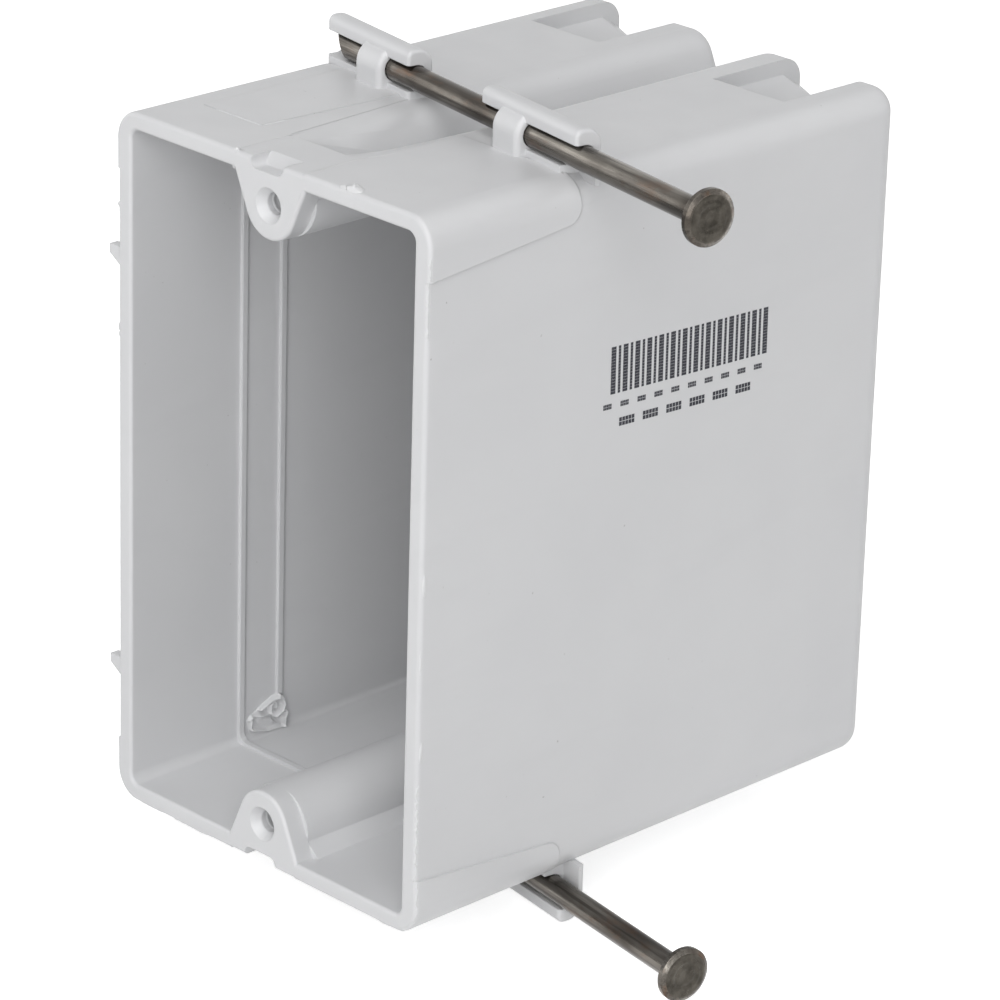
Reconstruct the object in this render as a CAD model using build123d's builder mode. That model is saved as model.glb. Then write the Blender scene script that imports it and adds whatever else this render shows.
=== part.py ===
"""Single-gang nail-on outlet box, moulded in one piece, with its two captive nails.

Millimetres. X runs across the opening, Y from the open front to the rear wall and Z is up.
The origin lies midway between the two device screw holes, in the plane of the rim.
"""
import os
from math import cos, radians, sin, tan

from build123d import *

# Box shell
device_screw_pitch = 83.3
box_width = 56.6
box_height = 94.4
box_depth = 84.0
side_wall = 2.5
top_wall = 2.2
rear_wall = 2.3
corner_radius = 3.8
rear_edge_radius = 3.2
rim_edge_radius = 0.65
rim_inner_radius = 0.5
outer_draft = 0.25
core_draft = 0.75
core_end_radius = 1.2

# Raised fields that the mould slides leave at the front corners
slide_field_height = 0.3
slide_field_top_height = 0.12
right_field_length = 25.4
left_field_length = 33.0
slide_field_reach = 7.9
slide_field_angle = 5.2
slide_field_corner = 2.2
slide_field_gap = 12.2

# Land in front of each left holder
land_height = 0.06
land_front_y = 8.8
land_left_x = -22.0
land_front_x = -11.1
land_rear_x = -9.5

# Ear and the ridge that runs back from it
ear_tip_radius = 4.5
ear_flank_angle = 24.0
ear_thickness = 3.0
ridge_radius = 5.4
ridge_foot = 1.9
screw_bore = 2.9
screw_bore_depth = 16.0
dish_diameter = 4.6
dish_depth = 1.2
notch_width = 5.8
notch_depth = 1.4
notch_length = 3.5
notch_back_run = 1.5
notch_corner = 1.1
notch_centre_x = -0.4

# Trough along the outside, above and below
trough_start = 9.4
trough_ramp_length = 22.6
trough_depth = 8.1
trough_flank_angle = 66.0
trough_bottom_radius = 2.2
trough_shoulder_radius = 4.2
trough_front_depth = 0.3
trough_front_angle = 5.0
trough_front_radius = 30.0
trough_edge_lift = 0.03

# Cable entries at the rear corners
entry_inner_edge = 10.3
entry_width = 12.6
entry_start = 67.2
entry_ramp_length = 4.9
entry_start_depth = 0.04
entry_start_valley = 0.02
entry_edge_depth = 2.05
entry_front_valley = 0.5
entry_rear_valley = 2.7
entry_flap_thickness = 1.0
entry_lip_length = 3.4
entry_lip_drop = 2.4

# Fine ribs inside
rib_height = 0.45
rib_width = 0.9
first_rib_y = 18.4
second_rib_y = 25.1
second_rib_length = 79.0

# Nibs on the stud side
nib_height_on_wall = 2.4
nib_reach = 1.9
nib_tip = 1.2
nib_length = 1.3
nib_setback = 0.3
nib_top_z = 28.7
nib_lower_top_z = -27.9

# Nails
nail_diameter = 3.2
nail_length = 79.9
nail_head_diameter = 7.2
nail_head_thickness = 1.2
nail_head_cone = 0.9
nail_point_angle = 45.0
nail_point_width = 1.3
nail_point_slant = 33.0
nail_slant = 10.0
nail_ledge = 1.0
nail_clearance = 0.08
top_nail_y = 30.2
bottom_nail_y = 31.7
nail_head_u = 55.0

# Nail holders
holder_rear_wall = 0.9
holder_roof = 2.0
holder_overhang = 1.3
holder_root = 1.2
holder_front_round = 1.0
holder_rear_round = 2.4
holder_end_round = 0.5
band_length = 5.6
band_wall = 1.05
band_edge_round = 0.8
right_holder_start = 8.8
right_holder_end = 29.4
right_ledge_end = 26.0
right_band_centre = 15.9
left_holder_start = -26.4
left_holder_end = -7.5
left_band_centre = -15.0

# Worked out from the sizes above
half_width = box_width / 2
half_height = box_height / 2
core_half_width = half_width - side_wall
core_half_height = half_height - top_wall
core_length = box_depth - rear_wall
core_radius = corner_radius - side_wall
screw_z = device_screw_pitch / 2
ear_tip_z = screw_z - ear_tip_radius
channel_radius = nail_diameter / 2 + nail_clearance
nail_axis_z = half_height + nail_ledge + nail_diameter / 2
along_nail = Vector(cos(radians(nail_slant)), -sin(radians(nail_slant)), 0)
rearward = Vector(sin(radians(nail_slant)), cos(radians(nail_slant)), 0)


def depth_plane(y):
    """Plane square to the depth, at distance y behind the rim."""
    return Plane.XZ.offset(-y)


def rearward_plane(y):
    """The same plane facing the rear, for drafted runs that start at distance y."""
    return Plane(origin=(0, y, 0), x_dir=(1, 0, 0), z_dir=(0, 1, 0))


def outer_half_height(y):
    """Half height of the drafted outside, without the slide fields."""
    return half_height - y * tan(radians(outer_draft))


def core_half_height_at(y):
    """Half height of the drafted cavity."""
    return core_half_height - y * tan(radians(core_draft))


def core_half_width_at(y):
    """Half width of the drafted cavity."""
    return core_half_width - y * tan(radians(core_draft))


def nail_point(side, u):
    """Point on a nail's axis, u along it from the middle of the box; side is 1 above, -1 below."""
    start_y = top_nail_y if side > 0 else bottom_nail_y
    return Vector(0, start_y, side * nail_axis_z) + along_nail * u


def nail_section(side, u):
    """Plane square to a nail: its x points to the rear and its y points up."""
    return Plane(origin=nail_point(side, u), x_dir=rearward, z_dir=along_nail)


# Outside of the box, drafted to the rear

with BuildPart() as shell:
    with BuildSketch(rearward_plane(0)):
        RectangleRounded(box_width, box_height, corner_radius)
    extrude(amount=box_depth, taper=outer_draft)
    fillet(shell.faces().sort_by(Axis.Y)[0].edges(), rim_edge_radius)


# Slide fields: a slightly larger drafted skin, kept only around the four front corners

with BuildPart() as slide_fields:
    field_width = box_width + 2 * slide_field_height
    field_height = box_height + 2 * slide_field_top_height
    with BuildSketch(rearward_plane(0)):
        RectangleRounded(field_width, field_height, corner_radius + slide_field_top_height)
    extrude(amount=left_field_length, taper=outer_draft)
    fillet(slide_fields.faces().sort_by(Axis.Y)[0].edges(), rim_edge_radius)
    front_z = half_height - slide_field_reach
    rise = tan(radians(slide_field_angle))
    behind = left_field_length + 1
    for length, reach in ((right_field_length, box_width), (left_field_length, -box_width)):
        rear_z = front_z + rise * length
        with BuildSketch(Plane.YZ):
            with BuildLine():
                Polyline(
                    (-1, -front_z + rise),
                    (length, -rear_z),
                    (length, -half_height - 1),
                    (behind, -half_height - 1),
                    (behind, half_height + 1),
                    (length, half_height + 1),
                    (length, rear_z),
                    (-1, front_z - rise),
                    close=True,
                )
            make_face()
            corners = [v for v in vertices() if abs(v.X - length) < 0.01 and abs(v.Y) < rear_z + 0.01]
            fillet(corners, slide_field_corner)
        extrude(amount=reach, mode=Mode.SUBTRACT)
    with BuildSketch(Plane.XY):
        with Locations((0, left_field_length / 2)):
            Rectangle(slide_field_gap, 2 * left_field_length)
    extrude(amount=box_height, both=True, mode=Mode.SUBTRACT)
    for side in (1, -1):
        with BuildSketch(Plane.XY.offset(side * half_height)):
            with BuildLine():
                Polyline(
                    (land_left_x, land_front_y),
                    (land_front_x, land_front_y),
                    (land_rear_x, left_field_length),
                    (land_left_x, left_field_length),
                    close=True,
                )
            make_face()
        extrude(amount=side * (slide_field_top_height + land_height))


# Trough, a valley with round shoulders that ramps down behind the ear


def wall_plane(y):
    """Plane square to the drafted top at distance y, with its origin on that top."""
    lean = radians(outer_draft)
    return Plane(origin=(0, y, outer_half_height(y)), x_dir=(1, 0, 0), z_dir=(0, -cos(lean), sin(lean)))


def trough_section(y, depth, flank_angle, bottom_radius, shoulder_radius):
    """Cross-section of the cutter: round bottom, straight flanks and round shoulders, all tangent.

    The shoulders end a hair above the wall, so that they run out into it at a shallow angle.
    """
    angle = radians(flank_angle)
    sagitta = 1 - cos(angle)
    fall = depth + trough_edge_lift - (bottom_radius + shoulder_radius) * sagitta
    low_x = bottom_radius * sin(angle)
    low_y = bottom_radius * sagitta - depth
    high_x = low_x + fall / tan(angle)
    high_y = low_y + fall
    edge_x = high_x + shoulder_radius * sin(angle)
    middle_x = edge_x - shoulder_radius * sin(angle / 2)
    middle_y = trough_edge_lift - shoulder_radius * (1 - cos(angle / 2))
    with BuildSketch(wall_plane(y)) as section:
        with BuildLine():
            ThreePointArc((-low_x, low_y), (0, -depth), (low_x, low_y))
            Line((low_x, low_y), (high_x, high_y))
            ThreePointArc((high_x, high_y), (middle_x, middle_y), (edge_x, trough_edge_lift))
            Polyline(
                (edge_x, trough_edge_lift),
                (edge_x, trough_depth / 2),
                (-edge_x, trough_depth / 2),
                (-edge_x, trough_edge_lift),
            )
            ThreePointArc((-edge_x, trough_edge_lift), (-middle_x, middle_y), (-high_x, high_y))
            Line((-high_x, high_y), (-low_x, low_y))
        make_face()
    return section.sketch


def trough_cutter():
    """Cutter for the upper trough: a ramp, then a straight run out of the rear."""
    full = trough_start + trough_ramp_length
    shallow = trough_section(
        trough_start, trough_front_depth, trough_front_angle, trough_front_radius, trough_front_radius
    )
    deep = trough_section(
        full, trough_depth, trough_flank_angle, trough_bottom_radius, trough_shoulder_radius
    )
    with BuildPart() as cutter:
        loft([shallow, deep], ruled=True)
        extrude(deep, amount=-(box_depth + 1 - full))
    return cutter.part


# Hull: shell and fields with both troughs cut, then rounded along the whole rear edge

with BuildPart() as hull:
    add(shell.part)
    add(slide_fields.part)
    trough = trough_cutter()
    add(trough, mode=Mode.SUBTRACT)
    add(mirror(trough, about=Plane.XY, mode=Mode.PRIVATE), mode=Mode.SUBTRACT)
    fillet(hull.faces().sort_by(Axis.Y)[-1].edges(), rear_edge_radius)


# Cable entry, a valley that the installer breaks in, deeper towards the rear


def entry_section(y, depth, valley, grow):
    """Section of an entry on the upper right: depth at its edges, and how much deeper its middle is."""
    top = outer_half_height(y)
    left = entry_inner_edge - grow
    right = entry_inner_edge + entry_width + grow
    middle = (left + right) / 2
    with BuildSketch(depth_plane(y)) as section:
        with BuildLine():
            Polyline(
                (left, top + 2),
                (left, top - depth - grow),
                (middle, top - depth - valley - grow),
                (right, top - depth - grow),
                (right, top + 2),
                close=True,
            )
        make_face()
    return section.sketch


def entry_shape(end_y, end_drop, grow):
    """Entry from its front ramp to end_y; grow thickens it into the skin of the flap."""
    full = entry_start + entry_ramp_length
    lip = box_depth - entry_lip_length
    slope = (entry_rear_valley - entry_front_valley) / (box_depth - full)
    lip_valley = entry_front_valley + slope * (lip - full)
    start = entry_section(entry_start, entry_start_depth, entry_start_valley, grow)
    front = entry_section(full, entry_edge_depth, entry_front_valley, grow)
    rear = entry_section(lip, entry_edge_depth, lip_valley, grow)
    end = entry_section(end_y, entry_edge_depth + end_drop, entry_rear_valley, grow)
    with BuildPart() as shape:
        loft([start, front], ruled=True)
        loft([front, rear], ruled=True)
        loft([rear, end], ruled=True)
    return shape.part


# Ear at the rim, and the wider ridge behind it that the trough runs in


def ear_blank():
    """Upper ear plate, run up past the wall, with straight flanks tangent to its round tip."""
    angle = radians(ear_flank_angle)
    touch_x = ear_tip_radius * cos(angle)
    touch_z = screw_z - ear_tip_radius * sin(angle)
    root_z = core_half_height + 1
    root_x = touch_x + (root_z - touch_z) * tan(angle)
    with BuildPart() as blank:
        with BuildSketch(depth_plane(-1)):
            with BuildLine():
                tip = ThreePointArc((-touch_x, touch_z), (0, ear_tip_z), (touch_x, touch_z))
                Polyline(tip @ 1, (root_x, root_z), (-root_x, root_z), tip @ 0)
            make_face()
        extrude(amount=-(ear_thickness + 1))
    return blank.part


def ridge_blank():
    """Upper half-round ridge from the back of the ear to the rear wall."""
    centre_z = ear_tip_z + ridge_radius
    root_z = core_half_height + 1
    foot_z = core_half_height - ridge_foot
    foot_x = ridge_radius + ridge_foot
    with BuildPart() as blank:
        with BuildSketch(depth_plane(ear_thickness)):
            with BuildLine():
                crown = ThreePointArc((-ridge_radius, centre_z), (0, ear_tip_z), (ridge_radius, centre_z))
                Polyline(
                    crown @ 1,
                    (ridge_radius, foot_z),
                    (foot_x, core_half_height),
                    (foot_x, root_z),
                    (-foot_x, root_z),
                    (-foot_x, core_half_height),
                    (-ridge_radius, foot_z),
                    crown @ 0,
                )
            make_face()
        extrude(amount=-(core_length + 1 - ear_thickness))
    return blank.part


with BuildPart() as upper_ridge:
    add(ridge_blank())
    add(ear_blank())


# Core: everything inside the box that the moulding leaves empty

with BuildPart() as core:
    with BuildSketch(rearward_plane(0)):
        RectangleRounded(2 * core_half_width, 2 * core_half_height, core_radius)
    extrude(amount=core_length, taper=core_draft)
    fillet(core.faces().sort_by(Axis.Y)[-1].edges(), core_end_radius)
    with BuildSketch(depth_plane(0)):
        RectangleRounded(2 * core_half_width, 2 * core_half_height, core_radius)
    extrude(amount=1)
    add(upper_ridge.part, mode=Mode.SUBTRACT)
    add(mirror(upper_ridge.part, about=Plane.XY, mode=Mode.PRIVATE), mode=Mode.SUBTRACT)
    for flip_x in (False, True):
        for flip_z in (False, True):
            skin = entry_shape(box_depth, 0, entry_flap_thickness)
            if flip_x:
                skin = mirror(skin, about=Plane.YZ, mode=Mode.PRIVATE)
            if flip_z:
                skin = mirror(skin, about=Plane.XY, mode=Mode.PRIVATE)
            add(skin, mode=Mode.SUBTRACT)
    with BuildSketch(depth_plane(first_rib_y)):
        Rectangle(box_width, box_height)
        inner_width = 2 * (core_half_width_at(first_rib_y) - rib_height)
        inner_height = 2 * (core_half_height_at(first_rib_y) - rib_height)
        RectangleRounded(inner_width, inner_height, core_radius, mode=Mode.SUBTRACT)
    extrude(amount=-rib_width, mode=Mode.SUBTRACT)
    with BuildSketch(depth_plane(second_rib_y)):
        Rectangle(box_width, second_rib_length)
        inner_width = 2 * (core_half_width_at(second_rib_y) - rib_height)
        Rectangle(inner_width, box_height, mode=Mode.SUBTRACT)
    extrude(amount=-rib_width, mode=Mode.SUBTRACT)


# Nail holders


def holder_outline(side):
    """Section of a holder's rear wall, roof and ledge, with its two upper corners rounded."""
    root = nail_ledge + nail_diameter / 2 + holder_root
    roof = channel_radius + holder_roof
    back = channel_radius + holder_rear_wall
    with BuildSketch(mode=Mode.PRIVATE) as outline:
        with BuildLine():
            Polyline(
                (-holder_overhang, -side * root),
                (-holder_overhang, side * roof),
                (back, side * roof),
                (back, -side * root),
                close=True,
            )
        make_face()
        upper = outline.vertices().group_by(Axis.Y)[-1 if side > 0 else 0]
        fillet(upper.sort_by(Axis.X)[0], holder_front_round)
        upper = outline.vertices().sort_by(Axis.X)[-2:]
        fillet(upper.sort_by(Axis.Y)[-1 if side > 0 else 0], holder_rear_round)
    return outline.sketch


def holder_bar(side, start, end, ledge_start, ledge_end):
    """Bar that carries the channel; its ledge may start later and end sooner than its roof."""
    low = nail_ledge + nail_diameter / 2 + holder_root + 1
    with BuildPart() as bar:
        with BuildSketch(nail_section(side, start)):
            add(holder_outline(side))
        extrude(amount=end - start)
        along = bar.edges().filter_by(Axis(nail_point(side, 0), along_nail))
        foot = bar.faces().sort_by(Axis.Z)[0 if side > 0 else -1].edges()
        fillet(bar.edges() - along - foot, holder_end_round)
        for first, last in ((start - 1, ledge_start), (ledge_end, end + 1)):
            if start < last and first < end:
                with BuildSketch(nail_section(side, first)):
                    with Locations((-holder_overhang, -side * low / 2)):
                        Rectangle(2 * holder_overhang + 2 * channel_radius, low)
                extrude(amount=last - first, mode=Mode.SUBTRACT)
    return bar.part


def holder_band(side, centre):
    """Half collar with a round front that closes the channel, before the channel is cut."""
    root = nail_ledge + nail_diameter / 2 + holder_root
    front = channel_radius + band_wall
    with BuildPart() as band:
        with BuildSketch(nail_section(side, centre - band_length / 2)):
            Circle(front)
            with Locations((-front / 2, -side * root / 2)):
                Rectangle(front, root)
            with Locations((front / 2, 0)):
                Rectangle(front, 2 * front, mode=Mode.SUBTRACT)
        extrude(amount=band_length)
        along = band.edges().filter_by(Axis(nail_point(side, 0), along_nail))
        foot = band.faces().sort_by(Axis.Z)[0 if side > 0 else -1].edges()
        seam = band.faces().sort_by(Axis(nail_point(side, 0), rearward))[-1].edges()
        fillet(band.edges() - along - foot - seam, band_edge_round)
    return band.part


def channel_cut(side, start, end, opens_to):
    """Slot for the nail with a round end; opens_to is -1 for the front and 1 for the rear."""
    with BuildPart() as cut:
        with BuildSketch(nail_section(side, start)):
            Circle(channel_radius)
            with Locations((opens_to * 3, 0)):
                Rectangle(6, 2 * channel_radius)
        extrude(amount=end - start)
    return cut.part


def nail_holder(side, start, end, band_centre, ledge_start, ledge_end):
    """One holder: a channel open to the front, and a band across it that opens to the rear."""
    band_start = band_centre - band_length / 2
    band_end = band_centre + band_length / 2
    with BuildPart() as holder:
        add(holder_bar(side, start, end, ledge_start, ledge_end))
        add(holder_band(side, band_centre))
        add(channel_cut(side, start - 1, band_start, -1), mode=Mode.SUBTRACT)
        add(channel_cut(side, band_start, band_end, 1), mode=Mode.SUBTRACT)
        add(channel_cut(side, band_end, end + 1, -1), mode=Mode.SUBTRACT)
    return holder.part


# Nib on the stud side, flat above and slanted below


def stud_nib(top_z):
    """Wedge that stands out from the left wall at the rim."""
    with BuildPart() as nib:
        with BuildSketch(depth_plane(nib_setback)):
            with BuildLine():
                Polyline(
                    (-half_width + 0.5, top_z),
                    (-half_width - nib_reach, top_z),
                    (-half_width - nib_reach, top_z - nib_tip),
                    (-half_width, top_z - nib_height_on_wall),
                    (-half_width + 0.5, top_z - nib_height_on_wall),
                    close=True,
                )
            make_face()
        extrude(amount=-nib_length)
    return nib.part


# Notch in the rim above the ear, with a sloping back


def notch_block():
    """Body of the notch above the upper ear."""
    bottom = half_height - notch_depth
    over = half_height + 1
    with BuildPart() as block:
        with BuildSketch(depth_plane(-1)):
            with Locations((notch_centre_x, over)):
                Rectangle(notch_width, 2 * (over - bottom))
            fillet(vertices().group_by(Axis.Y)[0], notch_corner)
        extrude(amount=-(notch_length + 2))
        with BuildSketch(Plane.YZ):
            with BuildLine():
                Polyline(
                    (-1, bottom),
                    (notch_length - notch_back_run, bottom),
                    (notch_length, half_height),
                    (notch_length + notch_back_run / notch_depth, over),
                    (-1, over),
                    close=True,
                )
            make_face()
        extrude(amount=notch_width, both=True, mode=Mode.INTERSECT)
    return block.part


# Device screw hole with its dished mouth, cut together with the notch


def screw_and_notch_cut():
    """Cuts made in the upper ear; mirrored for the lower one."""
    with BuildPart() as cut:
        with BuildSketch(Plane.YZ):
            with BuildLine():
                Polyline(
                    (-1, screw_z),
                    (-1, screw_z + dish_diameter / 2),
                    (0, screw_z + dish_diameter / 2),
                    (dish_depth, screw_z + screw_bore / 2),
                    (screw_bore_depth, screw_z + screw_bore / 2),
                    (screw_bore_depth + screw_bore / 3, screw_z),
                    close=True,
                )
            make_face()
        revolve(axis=Axis((0, 0, screw_z), (0, 1, 0)))
        add(notch_block())
    return cut.part


# The box, one moulded piece

screw_cut = screw_and_notch_cut()
entry = entry_shape(box_depth + 0.5, entry_lip_drop, 0)

with BuildPart() as box_body:
    add(hull.part)
    for flip_x in (False, True):
        for flip_z in (False, True):
            pocket = entry
            if flip_x:
                pocket = mirror(pocket, about=Plane.YZ, mode=Mode.PRIVATE)
            if flip_z:
                pocket = mirror(pocket, about=Plane.XY, mode=Mode.PRIVATE)
            add(pocket, mode=Mode.SUBTRACT)
    add(core.part, mode=Mode.SUBTRACT)
    rim = box_body.faces().sort_by(Axis.Y)[0]
    fillet(rim.inner_wires().sort_by(SortBy.LENGTH)[-1].edges(), rim_inner_radius)
    add(screw_cut, mode=Mode.SUBTRACT)
    add(mirror(screw_cut, about=Plane.XY, mode=Mode.PRIVATE), mode=Mode.SUBTRACT)
    for side in (1, -1):
        band_start = right_band_centre - band_length / 2
        start = right_holder_start
        end = right_holder_end
        add(nail_holder(side, start, end, right_band_centre, band_start, right_ledge_end))
        start = left_holder_start
        end = left_holder_end
        add(nail_holder(side, start, end, left_band_centre, start, end))
    for top_z in (nib_top_z, nib_lower_top_z):
        add(stud_nib(top_z))


# Nail: head, shank and a blunt chisel point that leans back towards the foot


def nail(side):
    """One captive nail along its slanted axis, head to the right, with a slanted chisel point."""
    head_face = nail_head_u
    point_u = head_face - nail_length
    radius = nail_diameter / 2
    taper = (radius - nail_point_width / 2) / tan(radians(nail_point_angle))
    origin = nail_point(side, 0)
    plan = Plane(origin=origin, x_dir=along_nail, z_dir=(0, 0, 1))
    lean = radians(nail_point_slant)
    tip = nail_point(side, point_u) + Vector(0, 0, radius)
    slanted = Plane(
        origin=tip,
        x_dir=along_nail * cos(lean) + Vector(0, 0, sin(lean)),
        z_dir=along_nail * -sin(lean) + Vector(0, 0, cos(lean)),
    )
    under_head = head_face - nail_head_thickness
    with BuildPart() as piece:
        with BuildSketch(plan):
            with BuildLine():
                Polyline(
                    (point_u, 0),
                    (point_u, radius),
                    (under_head - nail_head_cone, radius),
                    (under_head, nail_head_diameter / 2 - 0.25),
                    (under_head + 0.25, nail_head_diameter / 2),
                    (head_face - 0.3, nail_head_diameter / 2),
                    (head_face, nail_head_diameter / 2 - 0.5),
                    (head_face, 0),
                    close=True,
                )
            make_face()
        revolve(axis=Axis(origin, along_nail))
        with BuildSketch(slanted):
            with Locations((-nail_diameter, 0)):
                Rectangle(2 * nail_diameter, 2 * nail_diameter)
            for edge in (1, -1):
                with BuildLine():
                    Polyline(
                        (-1, edge * (nail_point_width / 2)),
                        (0, edge * (nail_point_width / 2)),
                        (taper, edge * radius),
                        (taper, edge * (radius + 1)),
                        (-1, edge * (radius + 1)),
                        close=True,
                    )
                make_face()
        extrude(amount=2 * nail_diameter, both=True, mode=Mode.SUBTRACT)
    return piece


nail_top = nail(1)
nail_bottom = nail(-1)

box_body.part.label = "box_body"
nail_top.part.label = "nail_top"
nail_bottom.part.label = "nail_bottom"

os.makedirs("parts", exist_ok=True)
export_step(box_body.part, "parts/box_body.step")
export_step(nail_top.part, "parts/nail_top.step")
export_step(nail_bottom.part, "parts/nail_bottom.step")
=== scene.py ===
"""Looks of the nail-on outlet box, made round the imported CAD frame. Metres, Z up.

X runs across the opening, Y from the open front to the rear and Z is up.
"""
import math
import random

import bmesh
import bpy
from mathutils import Matrix, Vector
from mathutils.bvhtree import BVHTree


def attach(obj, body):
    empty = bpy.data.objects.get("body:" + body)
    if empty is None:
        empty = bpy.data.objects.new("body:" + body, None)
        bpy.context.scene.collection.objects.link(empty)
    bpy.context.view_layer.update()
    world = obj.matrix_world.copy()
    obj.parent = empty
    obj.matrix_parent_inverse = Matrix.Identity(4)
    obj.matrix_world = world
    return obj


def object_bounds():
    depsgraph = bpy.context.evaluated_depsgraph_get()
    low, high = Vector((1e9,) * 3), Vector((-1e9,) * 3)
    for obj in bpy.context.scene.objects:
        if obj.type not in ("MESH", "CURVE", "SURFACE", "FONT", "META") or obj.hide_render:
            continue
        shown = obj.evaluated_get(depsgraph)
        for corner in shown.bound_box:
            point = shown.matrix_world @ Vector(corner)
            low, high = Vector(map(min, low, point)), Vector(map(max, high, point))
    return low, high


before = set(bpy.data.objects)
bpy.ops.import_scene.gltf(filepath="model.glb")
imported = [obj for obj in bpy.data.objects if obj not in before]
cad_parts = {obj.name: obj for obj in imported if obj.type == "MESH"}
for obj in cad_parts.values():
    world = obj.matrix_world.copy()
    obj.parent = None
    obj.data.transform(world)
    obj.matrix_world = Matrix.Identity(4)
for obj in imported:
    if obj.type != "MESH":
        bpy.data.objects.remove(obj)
cad_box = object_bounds()

MM = 0.001
FULL_TURN = 2 * math.pi
# The forms below are sized in millimetres. None reaches further forward than FRONT_MARGIN, so that
# all of them stay in the CAD box.
FRONT_MARGIN = 0.01
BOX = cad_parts["box_body"]
NAILS = {"upper_nail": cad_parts["nail_top"], "lower_nail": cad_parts["nail_bottom"]}


# Materials


class Surface:
    """One procedural material round a principled shader, in real-scale object coordinates."""

    def __init__(self, name, turn_z=0.0):
        self.material = bpy.data.materials.new(name)
        self.material.use_nodes = True
        self.tree = self.material.node_tree
        self.tree.nodes.clear()
        self.out = self.node("ShaderNodeOutputMaterial")
        self.shader = self.node("ShaderNodeBsdfPrincipled")
        self.link(self.shader, "BSDF", self.out, "Surface")
        place = self.node("ShaderNodeTexCoord")
        turn = self.node("ShaderNodeMapping")
        turn.inputs["Rotation"].default_value = (0, 0, turn_z)
        self.link(place, "Object", turn, "Vector")
        self.coordinates = turn.outputs["Vector"]

    def node(self, kind, **settings):
        made = self.tree.nodes.new(kind)
        for key, value in settings.items():
            setattr(made, key, value)
        return made

    def link(self, a, out_name, b, in_name):
        source = a if isinstance(a, bpy.types.NodeSocket) else a.outputs[out_name]
        self.tree.links.new(source, b.inputs[in_name])

    def stretched(self, scale):
        """The same coordinates with a different scale along each axis."""
        stretch = self.node("ShaderNodeMapping")
        stretch.inputs["Scale"].default_value = scale
        self.tree.links.new(self.coordinates, stretch.inputs["Vector"])
        return stretch.outputs["Vector"]

    def noise(self, size_mm, detail=3.0, roughness=0.5, distortion=0.0, vector=None):
        """Noise whose features are about size_mm across, from 0 to 1."""
        made = self.node("ShaderNodeTexNoise")
        made.inputs["Scale"].default_value = 1 / (size_mm * MM)
        made.inputs["Detail"].default_value = detail
        made.inputs["Roughness"].default_value = roughness
        made.inputs["Distortion"].default_value = distortion
        self.tree.links.new(vector or self.coordinates, made.inputs["Vector"])
        return made.outputs["Fac"]

    def ranged(self, value, low, high, to_low, to_high):
        """Value mapped from low..high to to_low..to_high, held at the ends."""
        made = self.node("ShaderNodeMapRange")
        made.inputs["From Min"].default_value = low
        made.inputs["From Max"].default_value = high
        made.inputs["To Min"].default_value = to_low
        made.inputs["To Max"].default_value = to_high
        self.tree.links.new(value, made.inputs["Value"])
        return made.outputs["Result"]

    def math(self, operation, a, b):
        made = self.node("ShaderNodeMath", operation=operation)
        for slot, value in enumerate((a, b)):
            if isinstance(value, bpy.types.NodeSocket):
                self.tree.links.new(value, made.inputs[slot])
            else:
                made.inputs[slot].default_value = value
        return made.outputs[0]

    def mixed(self, factor, first, second):
        """Colour that goes from first to second with factor; each is a colour or a socket."""
        made = self.node("ShaderNodeMix", data_type="RGBA")
        self.tree.links.new(factor, made.inputs["Factor"])
        for key, value in (("A", first), ("B", second)):
            socket = [s for s in made.inputs if s.name == key and s.type == "RGBA"][0]
            if isinstance(value, bpy.types.NodeSocket):
                self.tree.links.new(value, socket)
            else:
                socket.default_value = (*value, 1)
        return [s for s in made.outputs if s.type == "RGBA"][0]

    def bump(self, height, depth_mm, strength=1.0, normal=None):
        """Bump of depth_mm from a height of 0 to 1, on top of an earlier normal."""
        made = self.node("ShaderNodeBump")
        made.inputs["Strength"].default_value = strength
        made.inputs["Distance"].default_value = depth_mm * MM
        self.tree.links.new(height, made.inputs["Height"])
        if normal is not None:
            self.tree.links.new(normal, made.inputs["Normal"])
        return made.outputs["Normal"]

    def rounded(self, radius_mm):
        """Normal that rounds crisp edges by radius_mm."""
        made = self.node("ShaderNodeBevel", samples=6)
        made.inputs["Radius"].default_value = radius_mm * MM
        return made.outputs["Normal"]

    def finish(self, colour, roughness, normal, **constants):
        for key, value in (("Base Color", colour), ("Roughness", roughness), ("Normal", normal)):
            self.tree.links.new(value, self.shader.inputs[key])
        for key, value in constants.items():
            self.shader.inputs[key.replace("_", " ")].default_value = value
        return self.material


def moulded_plastic():
    """Light cool-grey PVC: faint flow marks, a few dark specks and a slight orange peel."""
    s = Surface("moulded_plastic")
    cloud = s.noise(22, detail=2)
    flow = s.noise(9, detail=4, distortion=1.2, vector=s.stretched((1.0, 0.25, 1.0)))
    tone = s.mixed(s.ranged(cloud, 0.3, 0.7, 0, 1), (0.580, 0.583, 0.594), (0.600, 0.603, 0.612))
    tone = s.mixed(s.ranged(flow, 0.52, 0.75, 0, 0.35), tone, (0.565, 0.568, 0.580))
    speck = s.noise(0.7, detail=1, roughness=0.4)
    rare = s.noise(5, detail=0)
    dark = s.math("MULTIPLY", s.ranged(speck, 0.79, 0.84, 0, 0.55), s.ranged(rare, 0.5, 0.62, 0, 1))
    tone = s.mixed(dark, tone, (0.22, 0.21, 0.20))
    gloss = s.ranged(s.noise(6, detail=3), 0.3, 0.7, 0.34, 0.46)
    normal = s.rounded(0.22)
    normal = s.bump(s.noise(30, detail=1), 0.10, 0.5, normal)
    normal = s.bump(s.noise(1.6, detail=2), 0.006, 0.6, normal)
    scratch = s.noise(0.35, detail=2, vector=s.stretched((1.0, 0.04, 0.5)))
    normal = s.bump(s.ranged(scratch, 0.60, 0.72, 0, 1), 0.004, 0.5, normal)
    return s.finish(tone, gloss, normal, Metallic=0.0, IOR=1.5)


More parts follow.
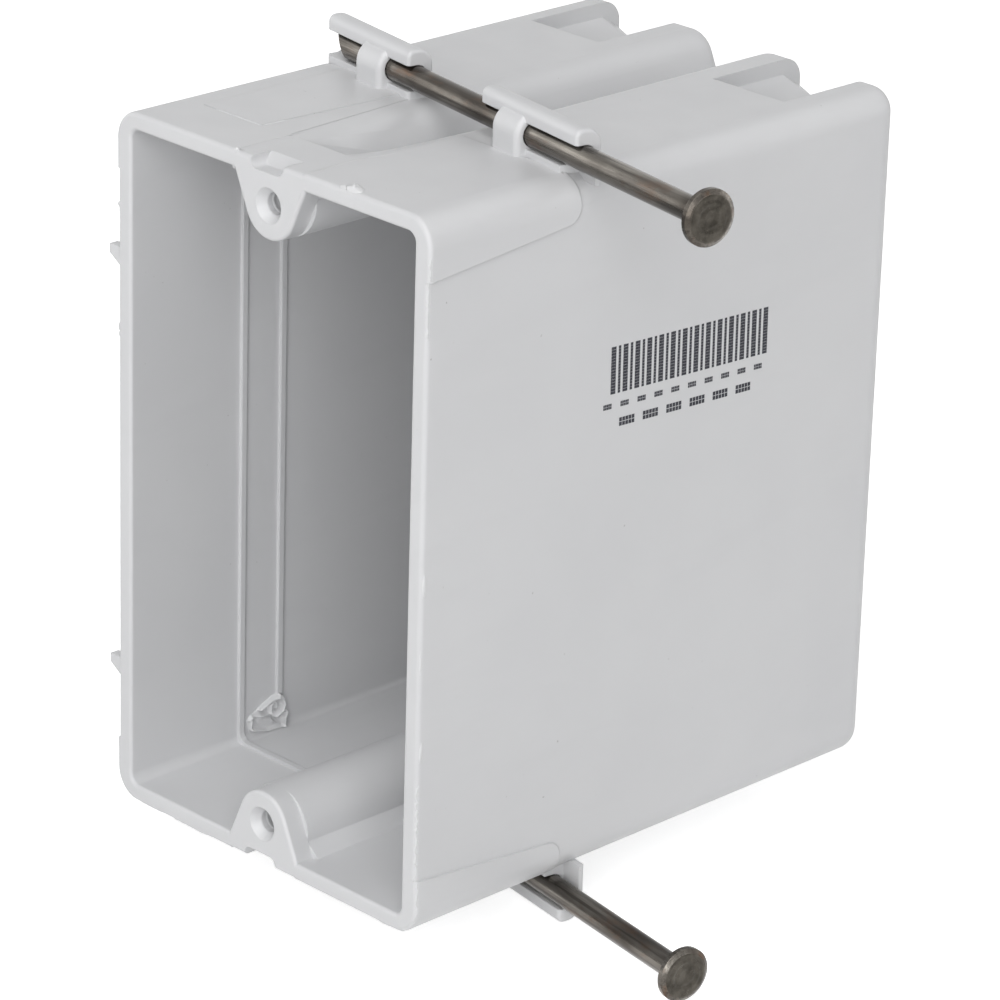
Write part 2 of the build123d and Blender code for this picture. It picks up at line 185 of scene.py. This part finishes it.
def torn_and_highlit_plastic():
    """The same plastic where it tore or flashed, a little rougher. Its paler tone is a painted
    highlight, so that torn edges and flash look lit.
    """
    s = Surface("torn_and_highlit_plastic")
    # Painted highlight: this tone is paler than the moulded plastic, so that thin flash and torn
    # edges look lit.
    tone = s.mixed(s.noise(0.5, detail=3), (0.600, 0.603, 0.612), (0.655, 0.658, 0.665))
    gloss = s.ranged(s.noise(0.4, detail=2), 0.3, 0.7, 0.28, 0.5)
    normal = s.bump(s.noise(0.35, detail=3), 0.03, 0.7, s.rounded(0.08))
    return s.finish(tone, gloss, normal, Metallic=0.0, IOR=1.5)


def drawn_steel(slant):
    """Bare wire steel: lengthwise drawing lines, oil-dark patches and a faint brown of rust."""
    s = Surface("drawn_steel", turn_z=slant)
    along = s.stretched((0.03, 1.0, 1.0))
    patch = s.noise(7, detail=3, vector=s.stretched((0.5, 1.0, 1.0)))
    lines = s.noise(0.6, detail=5, roughness=0.7, vector=along)
    rust = s.noise(3.0, detail=5, roughness=0.7, vector=s.stretched((0.4, 1.0, 1.0)))
    tone = s.mixed(s.ranged(patch, 0.35, 0.68, 0, 1), (0.072, 0.063, 0.054), (0.250, 0.233, 0.208))
    tone = s.mixed(s.ranged(lines, 0.44, 0.62, 0, 0.72), tone, (0.040, 0.035, 0.031))
    tone = s.mixed(s.ranged(rust, 0.54, 0.70, 0, 0.60), tone, (0.125, 0.072, 0.045))
    gloss = s.ranged(s.noise(1.2, detail=3, vector=along), 0.3, 0.7, 0.14, 0.34)
    normal = s.bump(lines, 0.03, 0.7, s.rounded(0.12))
    normal = s.bump(s.noise(2.2, detail=2, vector=s.stretched((0.5, 1.0, 1.0))), 0.03, 0.5, normal)
    return s.finish(tone, gloss, normal, Metallic=1.0)


def shaded_struck_steel():
    """The head's struck face, with fine rings of its own. It is darker than the wire as a painted
    shade, for the face's darker reflection.
    """
    s = Surface("shaded_struck_steel")
    patch = s.noise(1.6, detail=4, roughness=0.6)
    # Painted shade: these tones are darker than the wire's, for the face's darker reflection.
    tone = s.mixed(s.ranged(patch, 0.35, 0.65, 0, 1), (0.042, 0.038, 0.032), (0.088, 0.080, 0.068))
    gloss = s.ranged(s.noise(0.6, detail=3), 0.3, 0.7, 0.24, 0.42)
    normal = s.bump(s.noise(0.5, detail=3), 0.02, 0.5, s.rounded(0.1))
    return s.finish(tone, gloss, normal, Metallic=1.0)


def ink():
    """Blue-black ink, matt and a little uneven."""
    s = Surface("ink")
    tone = s.mixed(s.noise(0.4, detail=2), (0.008, 0.008, 0.014), (0.020, 0.021, 0.032))
    gloss = s.ranged(s.noise(0.5), 0.3, 0.7, 0.45, 0.65)
    normal = s.bump(s.noise(0.25, detail=2), 0.004, 0.5)
    return s.finish(tone, gloss, normal, Metallic=0.0, IOR=1.45)


NAIL_SLANT = math.radians(10.0)
plastic = moulded_plastic()
# Torn plastic whose paler tone is a painted highlight.
torn_and_highlit = torn_and_highlit_plastic()
steel = drawn_steel(NAIL_SLANT)
# The head face's darker steel is a painted shade.
shaded_head_steel = shaded_struck_steel()
print_ink = ink()


def repaint(obj, material):
    for place in range(max(1, len(obj.material_slots))):
        if place >= len(obj.material_slots):
            obj.data.materials.append(material)
        else:
            obj.material_slots[place].material = material


repaint(BOX, plastic)
for nail in NAILS.values():
    repaint(nail, steel)


# Mesh helpers


def surface_tree(obj):
    mesh = obj.data
    return BVHTree.FromPolygons([v.co for v in mesh.vertices], [p.vertices for p in mesh.polygons])


box_tree = surface_tree(BOX)


# Points nearer than WELD metres become one
WELD = 1e-7
# Where rays towards the box start, in millimetres: above it, on its right and in its opening
RAY_TOP_Z = 52.0
RAY_RIGHT_X = 60.0
RAY_INSIDE_X = -15.0
# How deep the edges of a strip that is laid on the box lie in its surface
SINK = 0.03


def strip_faces(first, rows, columns):
    """Quads between rows of points that were added one after the other, columns + 1 to a row."""
    made = []
    for row in range(rows):
        for column in range(columns):
            a = first + row * (columns + 1) + column
            b = a + columns + 1
            made.append((a, a + 1, b + 1, b))
    return made


def on_top(x, y, side, lift):
    """The point lift above the outside of the top, or of the underside where side is -1."""
    start = Vector((x, y, side * RAY_TOP_Z)) * MM
    hit = box_tree.ray_cast(start, Vector((0, 0, -side)))[0]
    return Vector((x * MM, y * MM, hit.z + side * lift * MM))


def make_piece(name, verts, faces, material, body, smooth=True):
    mesh = bpy.data.meshes.new(name)
    mesh.from_pydata([tuple(v) for v in verts], [], faces)
    mesh.update()
    work = bmesh.new()
    work.from_mesh(mesh)
    bmesh.ops.remove_doubles(work, verts=work.verts, dist=WELD)
    bmesh.ops.recalc_face_normals(work, faces=work.faces)
    work.to_mesh(mesh)
    work.free()
    for face in mesh.polygons:
        face.use_smooth = smooth
    mesh.materials.append(material)
    piece = bpy.data.objects.new(name, mesh)
    bpy.context.scene.collection.objects.link(piece)
    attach(piece, body)
    return piece


# Ink on the right wall: an even field of upright bars over two rows of short dashes, all of dots

PRINT_Y = (31.8, 59.9)
PRINT_TOP_Z = 23.7
PRINT_FOOT_Z = 17.4
PRINT_TILT = -0.047
PRINT_LEAN = 0.012
BAR_WIDTHS = (0.86, 0.43)
BAR_GAP = 0.42
BAR_DOTS = 16
BAR_DOT_SPAN = (0.02, 0.95)
DASH_DOTS = 5
DASH_DOT_WIDTH = 0.86
DASH_DOT_HEIGHT = 0.44
# Foot and height of each row of dashes, where it starts and ends, a dash and the space after it
DASH_ROWS = (
    (15.5, 0.75, 30.6, 61.4, 1.5, 1.55),
    (12.9, 1.20, 33.5, 58.0, 2.8, 1.45),
)
INK_LIFT = 0.012
INK_DEPTH = 0.05


def right_wall_x(y, z):
    """Where the right wall's outside lies, in millimetres."""
    hit = box_tree.ray_cast(Vector((RAY_RIGHT_X, y, z)) * MM, Vector((-1, 0, 0)))[0]
    return hit.x / MM


def ink_block(verts, faces, y0, y1, z0, z1):
    """A thin block on the wall, y0 to y1 and z0 to z1, leaning with the print's tilt."""
    first = len(verts)
    corners = []
    for y, z in ((y0, z0), (y1, z0), (y1, z1), (y0, z1)):
        lean_z = z + PRINT_TILT * (y - PRINT_Y[0])
        lean_y = y + PRINT_LEAN * (PRINT_TOP_Z - z)
        corners.append((lean_y, lean_z, right_wall_x(lean_y, lean_z)))
    for lift in (-INK_DEPTH, INK_LIFT):
        for y, z, x in corners:
            verts.append(Vector((x + lift, y, z)) * MM)
    quads = ((3, 2, 1, 0), (4, 5, 6, 7), (0, 1, 5, 4), (1, 2, 6, 5), (2, 3, 7, 6), (3, 0, 4, 7))
    faces.extend(tuple(first + i for i in quad) for quad in quads)


def print_marks():
    """Marks made by formula that say nothing."""
    verts, faces = [], []
    step = (PRINT_TOP_Z - PRINT_FOOT_Z) / BAR_DOTS
    y = PRINT_Y[0]
    count = 0
    while y < PRINT_Y[1]:
        width = BAR_WIDTHS[count % len(BAR_WIDTHS)]
        for dot in range(BAR_DOTS):
            low, high = (PRINT_FOOT_Z + (dot + part) * step for part in BAR_DOT_SPAN)
            ink_block(verts, faces, y, y + width, low, high)
        y += width + BAR_GAP
        count += 1
    for row_z, row_height, start, end, dash, space in DASH_ROWS:
        dot_width = dash / DASH_DOTS
        y = start
        while y + dash <= end:
            for dot in range(DASH_DOTS):
                left = y + dot * dot_width
                right = left + DASH_DOT_WIDTH * dot_width
                for low in (row_z, row_z + row_height / 2):
                    high = low + DASH_DOT_HEIGHT * row_height
                    ink_block(verts, faces, left, right, low, high)
            y += dash + space
    make_piece("print_marks", verts, faces, print_ink, "box", smooth=False)


print_marks()


# Stump of the gate on the inside of the left wall, near the floor


def left_wall_x(y, z):
    """Where the left wall's inside lies, in millimetres."""
    hit = box_tree.ray_cast(Vector((RAY_INSIDE_X, y, z)) * MM, Vector((-1, 0, 0)))[0]
    return hit.x / MM


def segment_distance(y, z, a, b):
    """How far a point lies from the line between a and b."""
    ay, az = a
    by, bz = b
    dy, dz = by - ay, bz - az
    along = ((y - ay) * dy + (z - az) * dz) / (dy * dy + dz * dz)
    along = max(0.0, min(1.0, along))
    return math.hypot(y - ay - along * dy, z - az - along * dz)


def ridge(y, z, a, b, width):
    """1 on the line from a to b, falling to 0 at width from it."""
    return math.exp(-((segment_distance(y, z, a, b) / width) ** 2))


def inside_distance(y, z, outline):
    """How far a point lies inside an outline; negative outside it."""
    best = math.inf
    inside = False
    for i, (ay, az) in enumerate(outline):
        by, bz = outline[(i + 1) % len(outline)]
        best = min(best, segment_distance(y, z, (ay, az), (by, bz)))
        if (az > z) != (bz > z) and y < ay + (z - az) * (by - ay) / (bz - az):
            inside = not inside
    return best if inside else -best


GATE_CELL = 0.08
GATE_CELLS = (92, 72)
GATE_START = (19.8, -45.0)
GATE_FOOT_Z = -44.0
GATE_SKIRT = 0.12
GATE_SINK = 0.05
# Heights of the stump's body and wobble, and how far inside the outline each form is full
GATE_BODY, GATE_BODY_RISE = 0.16, 0.2
GATE_RIDGE_RISE = 0.12
GATE_WOBBLE, GATE_WOBBLE_RISE = 0.018, 0.3
GATE_OUTLINE = (
    (20.0, -41.9), (20.6, -41.3), (22.0, -40.6), (23.0, -40.1), (24.3, -39.5), (25.3, -39.3),
    (25.9, -39.6), (26.4, -41.1), (27.0, -42.2), (26.6, -43.1), (26.6, -44.2), (26.4, -44.6),
    (24.0, -44.7), (22.2, -44.4), (20.6, -43.9), (20.1, -42.9),
)
# Each ridge's line on the wall as y and z, its width and its height
GATE_RIDGES = (
    (((25.3, -39.6), (23.9, -40.0), (22.9, -40.4), (22.0, -40.8)), 0.17, 0.85),
    (((25.0, -39.8), (23.95, -40.7), (23.95, -41.8)), 0.20, 0.60),
    (((25.6, -39.7), (26.15, -40.5), (26.2, -41.2), (25.7, -41.9), (24.7, -42.5)), 0.19, 0.95),
    (((26.4, -42.0), (26.8, -42.4), (26.25, -43.1), (26.3, -44.4)), 0.20, 0.85),
    (((20.5, -41.5), (21.6, -41.75), (23.0, -41.95), (23.9, -42.0)), 0.22, 0.40),
    (((20.2, -42.0), (20.6, -41.7), (20.5, -43.4)), 0.20, 0.45),
    (((20.6, -43.5), (22.1, -43.9), (23.4, -44.3), (24.7, -44.3), (26.0, -44.5)), 0.24, 0.55),
    (((22.3, -42.3), (24.2, -43.2)), 0.45, 0.22),
    (((24.9, -40.6), (24.9, -41.4)), 0.16, 0.45),
    (((25.65, -41.1), (25.1, -41.75)), 0.13, -0.50),
    (((24.5, -42.75), (25.35, -43.5), (26.1, -44.1)), 0.14, -0.45),
    (((24.4, -40.5), (24.5, -41.9)), 0.12, -0.30),
)


def gate_height(y, z, depth, wobble):
    """Height of the torn surface where it lies depth inside the outline."""
    height = GATE_BODY * (1 - math.exp(-depth / GATE_BODY_RISE))
    for line, width, lift in GATE_RIDGES:
        near = max(ridge(y, z, a, b, width) for a, b in zip(line, line[1:]))
        height += lift * near * min(1.0, depth / GATE_RIDGE_RISE)
    for way_y, way_z, phase in wobble:
        wave = math.sin(way_y * y + way_z * z + phase)
        height += GATE_WOBBLE * wave * min(1.0, depth / GATE_WOBBLE_RISE)
    return height


def gate_stump():
    """Torn sheet over the outline, on a grid of cells, its skirt sunk in the wall."""
    random.seed(4)
    wobble = [
        (random.uniform(1.5, 4.5), random.uniform(1.5, 4.5), random.uniform(0, 6.3))
        for _ in range(8)
    ]
    cells_y, cells_z = GATE_CELLS
    keep, verts, faces = {}, [], []
    for i in range(cells_y + 1):
        for j in range(cells_z + 1):
            y, z = GATE_START[0] + i * GATE_CELL, GATE_START[1] + j * GATE_CELL
            depth = inside_distance(y, z, GATE_OUTLINE)
            if depth < -GATE_SKIRT:
                continue
            height = gate_height(y, z, max(0.0, depth), wobble)
            proud = max(height, 0.02 if depth > 0 else -0.05)
            keep[i, j] = len(verts)
            wall = left_wall_x(y, max(z, GATE_FOOT_Z))
            verts.append(Vector((wall - GATE_SINK + proud, y, z)) * MM)
    for i in range(cells_y):
        for j in range(cells_z):
            corners = [(i, j), (i + 1, j), (i + 1, j + 1), (i, j + 1)]
            if all(corner in keep for corner in corners):
                faces.append(tuple(keep[corner] for corner in corners))
    make_piece("gate_stump", verts, faces, torn_and_highlit, "box")


gate_stump()


# Flash left by the mould: small beads and burrs on the rim, and fine pale lines where its slides
# met, their paleness a painted highlight


# Middle and radii of each bead
BEADS = (
    ((14.4, 0.95, 47.00), (1.45, 0.90, 0.85)),
    ((13.2, 0.85, 47.00), (1.10, 0.75, 0.55)),
    ((-28.45, 0.70, 34.20), (0.34, 0.40, 0.42)),
    ((-28.05, 0.45, 33.50), (0.30, 0.30, 0.48)),
    ((-28.38, 0.75, 17.90), (0.42, 0.45, 0.80)),
    ((-28.42, 0.75, 16.90), (0.34, 0.40, 0.50)),
    ((-27.95, 0.35, -33.90), (0.22, 0.20, 0.55)),
    ((-27.85, 0.35, -35.30), (0.20, 0.20, 0.42)),
    ((28.12, 0.60, 0.60), (0.30, 0.40, 1.90)),
    ((28.08, 0.65, -21.80), (0.36, 0.45, 1.50)),
    ((-6.35, 0.50, 46.95), (0.34, 0.34, 0.52)),
    ((-6.95, 0.45, 46.80), (0.22, 0.30, 0.38)),
    ((-6.75, 0.45, 45.05), (0.20, 0.30, 0.40)),
)
BEAD_AROUND = 14
BEAD_ROWS = 9
BEAD_SWELL = 0.07


def flash_beads():
    """Small uneven beads on the rim's outer edge."""
    random.seed(11)
    verts, faces = [], []
    for centre, radii in BEADS:
        first = len(verts)
        waves = [
            (random.uniform(1, 3.5), random.uniform(0, 6.3), random.uniform(1, 3))
            for _ in range(4)
        ]
        for row in range(BEAD_ROWS + 1):
            tilt = math.pi * row / BEAD_ROWS
            for k in range(BEAD_AROUND):
                turn = FULL_TURN * k / BEAD_AROUND
                way = (
                    math.sin(tilt) * math.cos(turn),
                    math.sin(tilt) * math.sin(turn),
                    math.cos(tilt),
                )
                swell = sum(math.sin(a * turn + b + c * tilt) for a, b, c in waves)
                swell = 1 + BEAD_SWELL * swell
                spot = Vector([c + r * w * swell for c, r, w in zip(centre, radii, way)])
                spot.y = max(spot.y, FRONT_MARGIN)
                verts.append(spot * MM)
        for row in range(BEAD_ROWS):
            for k in range(BEAD_AROUND):
                n = (k + 1) % BEAD_AROUND
                a = first + row * BEAD_AROUND
                b = a + BEAD_AROUND
                faces.append((a + k, a + n, b + n, b + k))
    make_piece("flash_beads", verts, faces, torn_and_highlit, "box")


# Pale ridges along the top's step edges: a painted highlight, in the paler torn plastic.
# Each line's points on the top as x and y, its width and its height
FLASH_HIGHLIGHT_LINES = (
    (((-11.05, 8.75), (-10.3, 19.0), (-9.6, 28.6)), 0.16, 0.05),
    (((-6.1, 9.3), (-6.9, 20.0), (-7.5, 28.8)), 0.16, 0.05),
    (((-19.5, 8.75), (-11.05, 8.75)), 0.13, 0.03),
    (((6.6, 0.9), (6.4, 4.2), (6.25, 8.0), (6.35, 10.0), (6.9, 11.8), (7.35, 14.0)), 0.24, 0.07),
)
FLASH_STEP = 0.5


def divided(line, step):
    """The line's points, with more between them at about step apart."""
    path = []
    for (ax, ay), (bx, by) in zip(line, line[1:]):
        steps = max(1, int(math.hypot(bx - ax, by - ay) / step))
        for k in range(steps):
            path.append((ax + (bx - ax) * k / steps, ay + (by - ay) * k / steps))
    path.append(line[-1])
    return path


def flash_highlight_lines():
    """Thin pale ridges laid along the top, and again underneath where the mould mirrors it; their
    paleness is a painted highlight along the step edges.
    """
    verts, faces = [], []
    for side in (1, -1):
        for line, width, height in FLASH_HIGHLIGHT_LINES:
            path = divided(line, FLASH_STEP)
            last = len(path) - 1
            first = len(verts)
            for k, (x, y) in enumerate(path):
                before, after = path[max(0, k - 1)], path[min(last, k + 1)]
                away = Vector((after[1] - before[1], before[0] - after[0])).normalized()
                swell = 1 + 0.25 * math.sin(2.3 * k) * math.sin(0.7 * k + 1)
                fade = min(1.0, 0.35 + 0.4 * min(k, last - k))
                profile = ((-width / 2, -SINK), (0, height * swell * fade), (width / 2, -SINK))
                for across, lift in profile:
                    verts.append(on_top(x + away.x * across, y + away.y * across, side, lift))
            faces += strip_faces(first, last, 2)
    make_piece("flash_highlight_lines", verts, faces, torn_and_highlit, "box")


BLEND_ROWS = 18
BLEND_Y = (0.75, 8.1)
BLEND_PROFILE = ((-6.55, -SINK), (-6.35, 0.004), (-4.9, 0.004), (-4.7, -SINK))


def field_blend():
    """Eases the left slide field's edge into the top between the rim and the trough."""
    verts, faces = [], []
    for side in (1, -1):
        first = len(verts)
        for k in range(BLEND_ROWS + 1):
            y = BLEND_Y[0] + BLEND_Y[1] * k / BLEND_ROWS
            sunk = SINK if k in (0, BLEND_ROWS) else 0.0
            for x, lift in BLEND_PROFILE:
                verts.append(on_top(x, y, side, lift - sunk))
        faces += strip_faces(first, BLEND_ROWS, len(BLEND_PROFILE) - 1)
    make_piece("field_blend", verts, faces, plastic, "box")


RIM_HALF_WIDTH = 28.3
RIM_HALF_HEIGHT = 47.2
RIM_CORNER = 3.8
RIM_EDGE = 0.65
# Where the outside is measured, how far out the ray starts, and the angles of a burr's section
BURR_RAY_Y = 1.0
BURR_RAY_REACH = 3.0
BURR_ANGLES = (12, 52, 86)
BURR_SWAY = 200
# Stretch of the rim's outer edge, where it starts and ends, the burr's height and how ragged it is
RIM_BURRS = (
    ("right", 42.6, 32.1, 0.20, 0.02),
    ("right", -8.0, -11.5, 0.10, 0.02),
    ("right", -26.0, -43.3, 0.15, 0.07),
    ("corner", -2, -88, 0.15, 0.07),
    ("bottom", 24.3, 21.0, 0.12, 0.05),
    ("bottom", -9.8, -17.5, 0.16, 0.08),
    ("bottom", -19.0, -24.0, 0.08, 0.04),
)


def rim_path(stretch, start, end, step=0.4):
    """Points on the rim's outline, each with its direction outward, as x and z."""
    length = abs(end - start) * (math.radians(RIM_CORNER) if stretch == "corner" else 1)
    steps = max(2, int(length / step))
    path = []
    for k in range(steps + 1):
        place = start + (end - start) * k / steps
        if stretch == "right":
            path.append(((RIM_HALF_WIDTH, place), (1.0, 0.0)))
        elif stretch == "bottom":
            path.append(((place, -RIM_HALF_HEIGHT), (0.0, -1.0)))
        else:
            out = (math.cos(math.radians(place)), math.sin(math.radians(place)))
            middle = (RIM_HALF_WIDTH - RIM_CORNER, RIM_CORNER - RIM_HALF_HEIGHT)
            path.append((tuple(m + RIM_CORNER * o for m, o in zip(middle, out)), out))
    return path


def rim_burrs():
    """Ragged flash along the rim's rounded outer edge."""
    random.seed(23)
    verts, faces = [], []
    for stretch, start, end, height, ragged in RIM_BURRS:
        path = rim_path(stretch, start, end)
        last = len(path) - 1
        first = len(verts)
        level = height
        for k, ((x, z), (out_x, out_z)) in enumerate(path):
            out = Vector((out_x, 0, out_z))
            outside = Vector((x, BURR_RAY_Y, z)) * MM + out * BURR_RAY_REACH * MM
            wall = box_tree.ray_cast(outside, -out)[0] / MM
            level = max(0.2 * height, min(height, level + random.uniform(-ragged, ragged)))
            fade = min(1.0, k / 3, last - k)
            first_angle, lean, last_angle = BURR_ANGLES
            lean += BURR_SWAY * random.uniform(-ragged, ragged)
            sunk, crest = RIM_EDGE - SINK, RIM_EDGE + level * fade
            for angle, reach in ((first_angle, sunk), (lean, crest), (last_angle, sunk)):
                turn = math.radians(angle)
                spot = wall + out * (reach * math.sin(turn) - RIM_EDGE)
                spot.y = max(FRONT_MARGIN, RIM_EDGE - reach * math.cos(turn))
                verts.append(spot * MM)
        faces += strip_faces(first, last, 2)
    make_piece("rim_burrs", verts, faces, torn_and_highlit, "box", smooth=False)


flash_beads()
flash_highlight_lines()
field_blend()
rim_burrs()


# Thread that the device screws leave in each hole

THREAD_TURNS = 9
THREAD_STEPS = 28
THREAD_PITCH = 0.794
THREAD_FIRST_Y = 1.75
# Radius and shift along the hole of each point of the ridge's section
THREAD_PROFILE = ((1.50, -0.26), (1.27, 0.0), (1.50, 0.26))
SCREW_HOLE_Z = 41.65


def thread_rings(name, middle_z):
    """A helical ridge in a screw hole."""
    verts = []
    steps = THREAD_TURNS * THREAD_STEPS
    for step in range(steps + 1):
        angle = FULL_TURN * step / THREAD_STEPS
        y = THREAD_FIRST_Y + THREAD_PITCH * step / THREAD_STEPS
        for radius, shift in THREAD_PROFILE:
            x, z = radius * math.cos(angle), middle_z + radius * math.sin(angle)
            verts.append(Vector((x, y + shift, z)) * MM)
    make_piece(name, verts, strip_faces(0, steps, 2), plastic, "box")


thread_rings("upper_screw_thread", SCREW_HOLE_Z)
thread_rings("lower_screw_thread", -SCREW_HOLE_Z)


# Struck face with shallow rings on each nail's head


def nail_frame(obj):
    """Middle of the head's face, the axis outward and two directions across it."""
    axis = Vector((math.cos(NAIL_SLANT), -math.sin(NAIL_SLANT), 0))
    across = Vector((math.sin(NAIL_SLANT), math.cos(NAIL_SLANT), 0))
    up = Vector((0, 0, 1))
    coords = [v.co for v in obj.data.vertices]
    far = max(c.dot(axis) for c in coords)
    low = min(c.z for c in coords)
    high = max(c.z for c in coords)
    sideways = [c.dot(across) for c in coords]
    middle = (min(sideways) + max(sideways)) / 2
    centre = axis * far + across * middle + up * ((low + high) / 2)
    return centre, axis, across, up


# Radius and height of each ring, from the edge to the middle
HEAD_PROFILE = (
    (3.02, -0.04), (2.96, 0.02), (2.70, 0.055), (2.45, 0.02), (2.30, 0.015), (2.05, 0.12),
    (1.85, 0.11), (1.65, 0.015), (1.40, 0.015), (1.15, 0.11), (0.95, 0.10), (0.70, 0.015),
    (0.0, 0.04),
)
HEAD_AROUND = 64
HEAD_EVEN_RADIUS = 2.6


def head_rings(body, obj):
    """A thin uneven cap on the head's face, closed by a fan in the middle."""
    centre, axis, across, up = nail_frame(obj)
    verts, faces = [], []
    for radius, lift in HEAD_PROFILE[:-1]:
        for k in range(HEAD_AROUND):
            angle = FULL_TURN * k / HEAD_AROUND
            uneven = 1 + 0.03 * math.sin(2 * angle + radius)
            uneven += 0.02 * math.sin(3 * angle + 2 * radius)
            reach = radius * (uneven if radius < HEAD_EVEN_RADIUS else 1.0)
            side = across * math.cos(angle) + up * math.sin(angle)
            verts.append(centre + side * reach * MM + axis * lift * MM)
    verts.append(centre + axis * HEAD_PROFILE[-1][1] * MM)
    rings = len(HEAD_PROFILE) - 1
    for ring in range(rings):
        a = ring * HEAD_AROUND
        b = a + HEAD_AROUND
        for k in range(HEAD_AROUND):
            n = (k + 1) % HEAD_AROUND
            if ring < rings - 1:
                faces.append((a + k, a + n, b + n, b + k))
            else:
                faces.append((a + k, a + n, len(verts) - 1))
    make_piece(body + "_head_face", verts, faces, shaded_head_steel, body)


for body, nail in NAILS.items():
    head_rings(body, nail)


# Floor, light and camera

WORLD_LEVEL = 0.10
FLOOR_GLOW = 0.70
FLOOR_TONE = 0.86
FLOOR_HALF = 6.0
FLOOR_DROP = 0.0005
LAMP_DISTANCE = 1.3
LAMP_SIDE = 1.0
LAMP_AIM = Vector((0.0, 0.04, 0.0))
# Name, azimuth, elevation and power; azimuth 0 is in front and 90 on the right
LAMPS = (
    ("key", 44, 19, 10.3),
    ("upper", 20, 60, 8.7),
    ("rear", 160, 50, 2.4),
    ("front", 0, 20, 1.3),
    ("back_right", 150, 6, 2.8),
    ("left", 280, 6, 5.0),
)
CAMERA = {
    "azimuth": 45.0506, "elevation": 22.133, "roll": 1.6961, "distance": 0.6705134,
    "target": (-0.0020686, 0.045, -0.0097362), "lens": 183.7524, "shift": (-0.009709, 0.001741),
}


def direction(azimuth, elevation):
    """Unit vector from the object towards an azimuth and elevation in degrees."""
    a, e = math.radians(azimuth), math.radians(elevation)
    return Vector((math.sin(a) * math.cos(e), -math.cos(a) * math.cos(e), math.sin(e)))


def seen_directly(tree):
    """1 for camera, glossy and transmission rays."""
    path = tree.nodes.new("ShaderNodeLightPath")
    first = tree.nodes.new("ShaderNodeMath")
    first.operation = "MAXIMUM"
    second = tree.nodes.new("ShaderNodeMath")
    second.operation = "MAXIMUM"
    tree.links.new(path.outputs["Is Camera Ray"], first.inputs[0])
    tree.links.new(path.outputs["Is Glossy Ray"], first.inputs[1])
    tree.links.new(first.outputs[0], second.inputs[0])
    tree.links.new(path.outputs["Is Transmission Ray"], second.inputs[1])
    return second.outputs[0]


def make_floor(height):
    mesh = bpy.data.meshes.new("floor")
    corners = ((-1, -1), (1, -1), (1, 1), (-1, 1))
    verts = [(FLOOR_HALF * x, FLOOR_HALF * y, height) for x, y in corners]
    mesh.from_pydata(verts, [], [(0, 1, 2, 3)])
    floor = bpy.data.objects.new("floor", mesh)
    bpy.context.scene.collection.objects.link(floor)
    material = bpy.data.materials.new("pale_floor")
    material.use_nodes = True
    tree = material.node_tree
    tree.nodes.clear()
    out = tree.nodes.new("ShaderNodeOutputMaterial")
    matt = tree.nodes.new("ShaderNodeBsdfDiffuse")
    matt.inputs["Color"].default_value = (FLOOR_TONE, FLOOR_TONE, FLOOR_TONE, 1)
    glow = tree.nodes.new("ShaderNodeEmission")
    glow.inputs["Color"].default_value = (1, 1, 1, 1)
    level = tree.nodes.new("ShaderNodeMath")
    level.operation = "MULTIPLY"
    level.inputs[1].default_value = FLOOR_GLOW
    tree.links.new(seen_directly(tree), level.inputs[0])
    tree.links.new(level.outputs[0], glow.inputs["Strength"])
    both = tree.nodes.new("ShaderNodeAddShader")
    tree.links.new(matt.outputs[0], both.inputs[0])
    tree.links.new(glow.outputs[0], both.inputs[1])
    tree.links.new(both.outputs[0], out.inputs["Surface"])
    mesh.materials.append(material)


def make_world():
    world = bpy.data.worlds.new("studio")
    world.use_nodes = True
    tree = world.node_tree
    tree.nodes.clear()
    out = tree.nodes.new("ShaderNodeOutputWorld")
    back = tree.nodes.new("ShaderNodeBackground")
    back.inputs["Color"].default_value = (1, 1, 1, 1)
    span = tree.nodes.new("ShaderNodeMapRange")
    span.inputs["To Min"].default_value = WORLD_LEVEL
    span.inputs["To Max"].default_value = 1.0
    tree.links.new(seen_directly(tree), span.inputs["Value"])
    tree.links.new(span.outputs[0], back.inputs["Strength"])
    tree.links.new(back.outputs[0], out.inputs["Surface"])
    bpy.context.scene.world = world


def softbox(name, azimuth, elevation, power):
    """Square area light that faces the object."""
    data = bpy.data.lights.new(name, "AREA")
    data.shape = "SQUARE"
    data.size = LAMP_SIDE
    data.energy = power
    lamp = bpy.data.objects.new(name, data)
    bpy.context.scene.collection.objects.link(lamp)
    toward = direction(azimuth, elevation)
    lamp.location = LAMP_AIM + toward * LAMP_DISTANCE
    lamp.rotation_mode = "QUATERNION"
    lamp.rotation_quaternion = toward.to_track_quat("Z", "Y")


def make_camera():
    data = bpy.data.cameras.new("camera")
    data.sensor_width = 36.0
    data.lens = CAMERA["lens"]
    data.shift_x, data.shift_y = CAMERA["shift"]
    data.clip_start, data.clip_end = 0.05, 20.0
    camera = bpy.data.objects.new("camera", data)
    bpy.context.scene.collection.objects.link(camera)
    back = direction(CAMERA["azimuth"], CAMERA["elevation"])
    right = (-back).cross(Vector((0, 0, 1))).normalized()
    up = right.cross(-back)
    roll = math.radians(CAMERA["roll"])
    across = right * math.cos(roll) + up * math.sin(roll)
    above = up * math.cos(roll) - right * math.sin(roll)
    turn = Matrix((across, above, back)).transposed().to_4x4()
    place = Vector(CAMERA["target"]) + back * CAMERA["distance"]
    camera.matrix_world = Matrix.Translation(place) @ turn
    bpy.context.scene.camera = camera


make_world()
make_floor(cad_box[0].z - FLOOR_DROP)
for lamp_name, azimuth, elevation, power in LAMPS:
    softbox(lamp_name, azimuth, elevation, power)
make_camera()
bpy.context.scene.view_settings.view_transform = "Standard"
